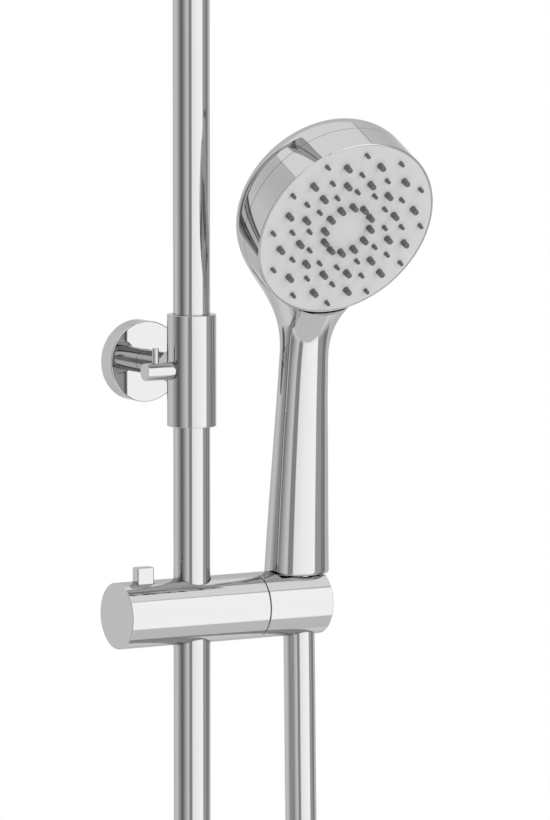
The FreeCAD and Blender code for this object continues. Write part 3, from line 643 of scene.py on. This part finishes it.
def shell_slope(points):
    """The form's value and its outward slope."""
    step = 2e-5
    slope = [shell_form(points + step * axis) - shell_form(points - step * axis) for axis in np.eye(3)]
    return shell_form(points), np.stack(slope, 1) / (2 * step)


bpy.ops.object.select_all(action="DESELECT")
bpy.ops.mesh.primitive_circle_add(vertices=64, radius=1.0)
shell = bpy.context.object
shell.name = "handset_casing"
bpy.ops.object.mode_set(mode="EDIT")
bpy.ops.mesh.select_all(action="SELECT")
bpy.ops.transform.resize(value=(HANDLE[0][2], HANDLE[0][3], 1), center_override=(0, 0, 0))
bpy.ops.transform.translate(value=(0, HANDLE[0][1], HANDLE[0][0]))
for (z0, y0, w0, d0), (z1, y1, w1, d1) in zip(HANDLE, HANDLE[1:]):
    bpy.ops.mesh.extrude_region_move(TRANSFORM_OT_translate={"value": (0, y1 - y0, z1 - z0)})
    bpy.ops.transform.resize(value=(w1 / w0, d1 / d0, 1), center_override=(0, y1, z1))
bpy.ops.mesh.select_all(action="SELECT")
bpy.ops.mesh.fill_holes(sides=0)
bpy.ops.mesh.select_all(action="SELECT")
bpy.ops.mesh.normals_make_consistent(inside=False)
bpy.ops.object.mode_set(mode="OBJECT")
placed(shell, SOCKET, (0, 0, 1))
turned("head_disc", [(FACE_R - 0.014, 0.001 - HEAD_DEPTH), (FACE_R - 0.001, 0.013 - HEAD_DEPTH),
                     (FACE_R - 0.001, -0.013), (FACE_R - 0.014, -0.001)], FACE, OUT, 96)
shell.select_set(True)
bpy.context.view_layer.objects.active = shell
bpy.ops.object.join()
SETTLING_STEPS = 4
voxels = shell.modifiers.new("voxels", "REMESH")
voxels.mode = "VOXEL"
voxels.voxel_size = 0.0011
bpy.ops.object.modifier_apply(modifier=voxels.name)
for relax in (8, 4, 2, 1, 0):
    points = np.empty(len(shell.data.vertices) * 3)
    shell.data.vertices.foreach_get("co", points)
    points = points.reshape(-1, 3)
    for _ in range(SETTLING_STEPS):
        value, slope = shell_slope(points)
        move = value / np.maximum((slope**2).sum(1), 0.05)
        points = points - np.clip(move, -0.002, 0.002)[:, None] * slope
    shell.data.vertices.foreach_set("co", points.ravel())
    shell.data.update()
    if relax:
        bpy.ops.object.mode_set(mode="EDIT")
        bpy.ops.mesh.select_all(action="SELECT")
        bpy.ops.mesh.vertices_smooth(factor=0.5, repeat=relax)
        bpy.ops.object.mode_set(mode="OBJECT")
band_room = turned("band_room", [(FACE_R + GAP, SEAM), (FACE_R + GAP, 0.03)], FACE, OUT, 192)
inlet_room = turned("inlet_room", [(INLET_R, 0.010), (INLET_R, 0.0241), (0.0104, 0.0241), (0.0104, 0.040)],
                    SOCKET, (0, 0, 1), 96)
combined(shell, "DIFFERENCE", band_room, inlet_room)
# The plating is flawless, so each corner on the outside takes its gloss from the true form.
mesh = shell.data
points = np.empty(len(mesh.vertices) * 3)
mesh.vertices.foreach_get("co", points)
value, slope = shell_slope(points.reshape(-1, 3))
slope /= np.linalg.norm(slope, axis=1)[:, None]
corner_vertex = np.empty(len(mesh.loops), int)
mesh.loops.foreach_get("vertex_index", corner_vertex)
sides_of_face = np.empty(len(mesh.polygons), int)
mesh.polygons.foreach_get("loop_total", sides_of_face)
facing = np.empty(len(mesh.polygons) * 3)
mesh.polygons.foreach_get("normal", facing)
corner_facing = np.repeat(facing.reshape(-1, 3), sides_of_face, axis=0)
outside = (np.abs(value[corner_vertex]) < 3e-5) & ((slope[corner_vertex] * corner_facing).sum(1) > 0.8)
mesh.normals_split_custom_set(np.where(outside[:, None], slope[corner_vertex], corner_facing).tolist())
fitted(shell, chrome, "chromed_plastic", "handset", "handset_shell")
inlet = turned("handset_thread", [
    (0.0045, 0.0071), (0.0085, 0.0071), (0.0085, 0.0143), (0.0089, 0.0146), (0.0089, 0.0241),
    (0.0103, 0.0241), (0.0103, 0.0390), (0.0045, 0.0390), (0.0045, 0.0071)], SOCKET, (0, 0, 1), 96)
fitted(inlet, chrome, "chrome", "handset", "handset_inlet")


# The head's front: a plated ABS ring, and in it a satin grey plate whose 72 holes let the soft
# silicone nozzles of the mat behind it stand through, so that scale can be rubbed off them.
RING_R = FACE_R - 0.0010
RING_WALL = 0.0022
ring = turned("head_ring", [
    (FACE_R - RING_WALL, SEAM + 0.0001), (FACE_R, SEAM + 0.0001), (FACE_R, -0.0004), (FACE_R - 0.0004, 0.0),
    (RING_R, 0.0), (RING_R, -0.0030), (FACE_R - RING_WALL, -0.0030), (FACE_R - RING_WALL, SEAM + 0.0001)],
    FACE, OUT, 256, 0.00018)
fitted(ring, chrome, "chromed_plastic", "handset", "handset_band")
ACROSS = Vector((1, 0, 0))
UP = Vector((0, -math.sin(TILT), math.cos(TILT)))
PLATE_FRONT = -0.0002
PLATE_BACK = -0.0029
LARGE = (0.00175, 0.0016, 0.0045)
SMALL = (0.00115, 0.00104, 0.0033)
# Rings of twelve nozzles: radius, phase in degrees, and whether they are the large ones.
RINGS = [(0.0142, 0, LARGE), (0.0236, 0, SMALL), (0.0287, 15, LARGE), (0.0343, 0, SMALL),
         (0.0404, 15, LARGE), (0.0462, 0, SMALL)]


def repeated(model, places):
    """Copies a model, each copy with its own mesh, to each place, and joins them into one piece."""
    bpy.ops.object.select_all(action="DESELECT")
    for spot in places:
        copy = model.copy()
        copy.data = model.data.copy()
        copy.data.transform(Matrix.Translation(spot))
        bpy.context.scene.collection.objects.link(copy)
        copy.select_set(True)
        bpy.context.view_layer.objects.active = copy
    bpy.data.objects.remove(model)
    bpy.ops.object.join()
    return bpy.context.object


def face_places(kind):
    """Where one kind of nozzle stands, from the middle of the face."""
    turns = [(radius, math.radians(30 * k + phase)) for radius, phase, size in RINGS
             for k in range(12) if size == kind]
    return [UP * (radius * math.cos(a)) + ACROSS * (radius * math.sin(a)) for radius, a in turns]


grey_face = plain_finish("grey_face", (0.60, 0.60, 0.60), 0.42, 1500.0, 0.25)
rubber = plain_finish("rubber", (0.125, 0.127, 0.13), 0.38, 1200.0, 0.4)
face_plate = turned("face_disc", [(RING_R - 0.00005, PLATE_BACK), (RING_R - 0.00005, PLATE_FRONT)],
                    FACE, OUT, 256, 0.0002)
for kind, name, node in ((LARGE, "large_nozzles", "nozzles_large"),
                         (SMALL, "small_nozzles", "nozzles_small")):
    base, tip, proud = kind
    top = PLATE_FRONT + proud
    hole = base + 0.00006
    drill = turned("nozzle_room", [(hole, PLATE_BACK - 0.001), (hole, PLATE_FRONT + 0.001)], FACE, OUT, 32)
    combined(face_plate, "DIFFERENCE", repeated(drill, face_places(kind)))
    jet = turned(name, [
        (base, PLATE_BACK), (base, PLATE_FRONT), (tip, top - 0.0003), (tip - 0.0001, top - 0.0001),
        (tip - 0.0003, top), (0.0004, top), (0.0003, top - 0.0008)], FACE, OUT, 28)
    fitted(repeated(jet, face_places(kind)), rubber, "rubber", "handset", node)
fitted(face_plate, grey_face, "grey_face", "handset", "spray_face")
dressed(rubber, "nozzle_mat")
dressed(white_plastic, "distributor_plate", "waterway_tube")


# The overhead arm: a turned brass union locks on the riser with a grub screw and an O-ring, and
# carries a 20 mm tube, bent twice and chrome plated, that brings the water out over the head.
union_low, union_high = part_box("arm_union")
tube_low, tube_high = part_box("shower_arm")
union = turned("riser_union", [
    (SLEEVE_BORE, union_low.z), (SLEEVE_R, union_low.z), (SLEEVE_R, union_high.z),
    (SLEEVE_BORE, union_high.z), (SLEEVE_BORE, union_low.z)], RISER, (0, 0, 1), 192, 0.0004)
fitted(union, chrome, "chrome", "column", "arm_union")
dressed(black_rubber, "union_o_ring")
ARM_BEND = 0.060
DROP_BEND = 0.034
ARM_Z = tube_high.z - PIPE_R
HEAD_Y = tube_low.y + PIPE_R
STEM_Z = 0.292
bpy.ops.object.select_all(action="DESELECT")
bpy.ops.mesh.primitive_circle_add(vertices=128, radius=PIPE_R, location=(RISER.x, RISER.y, tube_low.z))
overhead = bpy.context.object
overhead.name = "overhead_tube"
bpy.ops.object.transform_apply(location=True, rotation=True, scale=True)
bpy.ops.object.mode_set(mode="EDIT")
bpy.ops.mesh.select_all(action="SELECT")
bpy.ops.mesh.extrude_region_move(TRANSFORM_OT_translate={"value": (0, 0, ARM_Z - ARM_BEND - tube_low.z)})
bpy.ops.mesh.spin(steps=32, angle=-math.pi / 2, axis=(1, 0, 0),
                  center=(0, RISER.y - ARM_BEND, ARM_Z - ARM_BEND))
bpy.ops.mesh.extrude_region_move(
    TRANSFORM_OT_translate={"value": (0, HEAD_Y + DROP_BEND - (RISER.y - ARM_BEND), 0)})
bpy.ops.mesh.spin(steps=24, angle=-math.pi / 2, axis=(1, 0, 0),
                  center=(0, HEAD_Y + DROP_BEND, ARM_Z - DROP_BEND))
bpy.ops.mesh.extrude_region_move(TRANSFORM_OT_translate={"value": (0, 0, STEM_Z - (ARM_Z - DROP_BEND))})
bpy.ops.mesh.select_all(action="SELECT")
bpy.ops.mesh.remove_doubles(threshold=2e-6)
bpy.ops.mesh.normals_make_consistent(inside=False)
bpy.ops.object.mode_set(mode="OBJECT")
wall = overhead.modifiers.new("wall", "SOLIDIFY")
wall.thickness = PIPE_WALL
wall.offset = -1.0
bpy.ops.object.modifier_apply(modifier=wall.name)
finished(overhead, 0)
fitted(overhead, chrome, "chrome", "arm", "shower_arm")


# The rain head: a brass ball stem under a ring nut lets it tip, and its slim pressed shell holds a
# satin plate with 126 soft nozzles. Stem, nuts and shell are chrome plated.
HEAD = Vector((RISER.x, HEAD_Y, 0))
BALL_Z = 0.262
BALL_R = 0.010
NECK_R = 0.0050
WATER_R = 0.0035
ball = [(BALL_R * math.cos(math.radians(a)), BALL_Z + BALL_R * math.sin(math.radians(a)))
        for a in range(-69, 61, 3)]
stem = turned("ball_stem", [(WATER_R, ball[0][1])] + ball + [
    (NECK_R, 0.284), (0.0125, 0.284), (0.0125, STEM_Z - 0.0001), (WATER_R, STEM_Z - 0.0001),
    (WATER_R, ball[0][1])], HEAD, (0, 0, 1), 96)
fitted(stem, chrome, "chrome", "arm", "rain_ball_stem")
stem_nut = turned("stem_collar", [
    (SLEEVE_BORE, 0.292), (0.0140, 0.292), (0.0140, 0.305), (SLEEVE_BORE, 0.305), (SLEEVE_BORE, 0.292)],
    HEAD, (0, 0, 1), 128, 0.0007)
fitted(stem_nut, chrome, "chrome", "arm", "rain_stem_nut")
dressed(white_plastic, "rain_seat_ring")
SEAT_ROOM_R = 0.0131
seat_room = [(SEAT_ROOM_R * math.cos(math.radians(a)), BALL_Z + SEAT_ROOM_R * math.sin(math.radians(a)))
             for a in range(-48, 43, 6)]
ball_nut = turned("ball_ring_nut", [(0.0086, 0.2494)] + seat_room + [
    (0.0096, 0.2745), (0.0140, 0.2745), (0.0162, 0.2720), (0.0162, 0.2494), (0.0086, 0.2494)],
    HEAD, (0, 0, 1), 128, 0.0003)
fitted(ball_nut, chrome, "chrome", "rain_head", "rain_ball_nut")
pan_low, pan_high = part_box("rain_head_shell")
PAN_R = (pan_high.x - pan_low.x) / 2
PAN_RIM = 0.2402
CROWN = [(0.016 + (PAN_R - 0.018) * t, PAN_RIM + 0.0091 * (1 - t) ** 2.2 + 0.0014 * (1 - t ** 6))
         for t in (0.05, 0.12, 0.2, 0.3, 0.45, 0.6, 0.75, 0.88, 0.95)]
pan = turned("rain_pan", [(0.006, pan_high.z), (0.016, pan_high.z)] + CROWN + [
    (PAN_R - 0.0005, PAN_RIM), (PAN_R, PAN_RIM - 0.0008), (PAN_R, pan_low.z), (PAN_R - 0.002, pan_low.z),
    (PAN_R - 0.002, 0.2391), (0.06, 0.2400), (0.02, 0.2420), (0.006, 0.2420), (0.006, pan_high.z)],
    HEAD, (0, 0, 1), 256)
fitted(pan, chrome, "chrome", "rain_head", "rain_head_shell")
dressed(black_rubber, "rain_seal_ring")
RAIN_PLATE = 0.235
RAIN_PLATE_DEPTH = 0.003
RAIN_PITCH = 0.0155
RAIN_PLATE_R = PAN_R - 0.0021
RAIN_RINGS = 6
rain_plate = turned("rain_disc", [(RAIN_PLATE_R, RAIN_PLATE), (RAIN_PLATE_R, RAIN_PLATE + RAIN_PLATE_DEPTH)],
                    HEAD, (0, 0, 1), 256, 0.0003)
rain_places = []
for ring_number in range(1, RAIN_RINGS + 1):
    count = 6 * ring_number
    for k in range(count):
        a = 2 * math.pi * (k + 0.5 * (ring_number % 2)) / count
        rain_places.append(Vector((math.cos(a), math.sin(a), 0)) * (RAIN_PITCH * ring_number))
RAIN_HOLE_R = 0.00135
drill = turned("rain_room", [(RAIN_HOLE_R, RAIN_PLATE - 0.001), (RAIN_HOLE_R, RAIN_PLATE + 0.004)],
               HEAD, (0, 0, 1), 16)
combined(rain_plate, "DIFFERENCE", repeated(drill, rain_places))
fitted(rain_plate, grey_face, "grey_face", "rain_head", "rain_face_plate")
rain_jet = turned("rain_jets", [
    (0.0013, -0.0030), (0.0013, 0.0), (0.00095, 0.0018), (0.0008, 0.0020), (0.0004, 0.0020),
    (0.0003, 0.0012)], HEAD + Vector((0, 0, RAIN_PLATE)), (0, 0, -1), 16)
fitted(repeated(rain_jet, rain_places), rubber, "rubber", "rain_head", "rain_nozzles")


# The mixer: a cast brass bar, chrome plated, that takes hot and cold water from the wall, feeds the
# riser above and the hose below, and holds a cartridge in each end.
body_low, body_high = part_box("mixer_body")
MIXER_HALF = (body_high.x - body_low.x) / 2
MIXER_R = 0.021
MIXER = Vector((RISER.x, RISER.y, riser_low.z - 0.022))
INLET_X = 0.075
SIDEWAYS = Vector((1, 0, 0))
SPOUT = Vector((OUTLET.x, RISER.y, MIXER.z))
mixer = turned("mixer_casting", [(MIXER_R, -MIXER_HALF), (MIXER_R, MIXER_HALF)],
               MIXER, (1, 0, 0), 192, 0.0008)
neck = turned("riser_neck", [(0.012, 0.0), (0.012, 0.031)], MIXER, (0, 0, 1), 96)
spout = turned("hose_spout", [(0.0102, 0.0), (0.0102, 0.029)], SPOUT, (0, 0, -1), 96)
hot_boss = turned("hot_boss", [(0.013, 0.0), (0.013, 0.026)], MIXER - SIDEWAYS * INLET_X, (0, 1, 0), 96)
cold_boss = turned("cold_boss", [(0.013, 0.0), (0.013, 0.026)], MIXER + SIDEWAYS * INLET_X, (0, 1, 0), 96)
combined(mixer, "UNION", neck, spout, hot_boss, cold_boss)
bar = turned("cartridge_room", [(0.0151, -0.1), (0.0151, -0.044), (0.007, -0.044), (0.007, 0.044),
                                (0.0151, 0.044), (0.0151, 0.1)], MIXER, (1, 0, 0), 96)
neck_room = turned("neck_room", [(0.007, 0.0), (0.007, 0.022), (0.01005, 0.022), (0.01005, 0.04)],
                   MIXER, (0, 0, 1), 96)
spout_room = turned("spout_room", [(0.0055, 0.01), (0.0055, 0.03)], SPOUT, (0, 0, -1), 64)
hot_room = turned("hot_room", [(0.0085, 0.012), (0.0085, 0.03)], MIXER - SIDEWAYS * INLET_X, (0, 1, 0), 64)
cold_room = turned("cold_room", [(0.0085, 0.012), (0.0085, 0.03)], MIXER + SIDEWAYS * INLET_X, (0, 1, 0), 64)
combined(mixer, "DIFFERENCE", bar, neck_room, spout_room, hot_room, cold_room)
fitted(mixer, chrome, "chrome", "column", "mixer_body")
riser_nut = turned("riser_nut_ring", [
    (0.01205, 0.0220), (0.0152, 0.0220), (0.0160, 0.0230), (0.0160, 0.0370), (0.0150, 0.0382),
    (0.01005, 0.0382), (0.01005, 0.0312), (0.01205, 0.0312), (0.01205, 0.0220)],
    MIXER, (0, 0, 1), 128, 0.0003)
fitted(riser_nut, chrome, "chrome", "column", "riser_nut")
dressed(brass, "inlet_unions", "thermostat_cartridge", "flow_cartridge")
dressed(white_plastic, "check_valves")


# The inlets: a hexagon union nut draws the mixer onto each brass wall union, and a dished
# brass cover hides the joint at the tiles. Nuts and covers are chrome plated.
nuts_low, nuts_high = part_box("inlet_nuts")
FLATS = 0.0150
CORNER = FLATS / math.cos(math.pi / 6)
hexagon = turned("union_nuts", [
    (FLATS, nuts_low.y), (CORNER, nuts_low.y + 0.0012), (CORNER, nuts_high.y - 0.0012),
    (FLATS, nuts_high.y)],
    (0, 0, MIXER.z), (0, 1, 0), 6, 0.0003)
thread = turned("union_thread", [(0.00845, nuts_low.y - 0.01), (0.00845, nuts_high.y + 0.01)],
                (0, 0, MIXER.z), (0, 1, 0), 64)
combined(hexagon, "DIFFERENCE", thread)
hexagon = repeated(hexagon, [SIDEWAYS * -INLET_X, SIDEWAYS * INLET_X])
fitted(hexagon, chrome, "chrome", "column", "inlet_nuts")
cover = turned("wall_covers", [
    (0.0087, 0.0170), (0.0120, 0.0170), (0.0160, 0.0160), (0.0210, 0.0140), (0.0260, 0.0098),
    (0.0300, 0.0054), (0.0330, 0.0015), (0.0330, 0.0), (0.0315, 0.0), (0.0255, 0.0070),
    (0.0200, 0.0120), (0.0087, 0.0150), (0.0087, 0.0170)], (0, 0, MIXER.z), (0, -1, 0), 128)
cover = repeated(cover, [SIDEWAYS * -INLET_X, SIDEWAYS * INLET_X])
fitted(cover, chrome, "chrome", "column", "inlet_escutcheons")


# The mixer's grips: two turned brass caps, chrome plated, each with a lever that shows its place.
# The one on the right sets the temperature, and its round stop button is pressed to pass 38 degrees.
GRIP_R = 0.0225
STEM_R = 0.00506
GRIP_START = MIXER_HALF + 0.0013
GRIP_END = MIXER_HALF + 0.040
STEM_END = MIXER_HALF + 0.0182
for side, name, node, body in ((1, "temperature_grip", "temperature_handle", "temperature_grip"),
                               (-1, "flow_grip", "flow_handle", "flow_grip")):
    grip = turned(name, [
        (STEM_R, GRIP_START), (GRIP_R - 0.0008, GRIP_START), (GRIP_R, GRIP_START + 0.0008),
        (GRIP_R, GRIP_END - 0.0022), (GRIP_R - 0.0007, GRIP_END - 0.0007), (GRIP_R - 0.0022, GRIP_END),
        (0.0010, GRIP_END), (0.0010, STEM_END), (STEM_R, STEM_END), (STEM_R, GRIP_START)],
        MIXER, (side, 0, 0), 192)
    ends = sorted((side * (GRIP_END - 0.010), side * (GRIP_END - 0.002)))
    lever = block("lever", MIXER + Vector((ends[0], -0.0045, 0.015)),
                  MIXER + Vector((ends[1], 0.0045, 0.029)), 0.0010)
    combined(grip, "UNION", lever)
    if side == 1:
        stop_room = turned("stop_room", [(0.0056, 0.014), (0.0056, 0.030)],
                           MIXER + SIDEWAYS * (MIXER_HALF + 0.022), (0, -1, 0), 64)
        combined(grip, "DIFFERENCE", stop_room)
    fitted(grip, chrome, "chrome", body, node)
stop = turned("stop_button", [(0.0053, 0.0175), (0.0053, 0.0244)], MIXER + SIDEWAYS * (MIXER_HALF + 0.022),
              (0, -1, 0), 64, 0.0008)
fitted(stop, chrome, "chromed_plastic", "temperature_button", "temperature_stop")
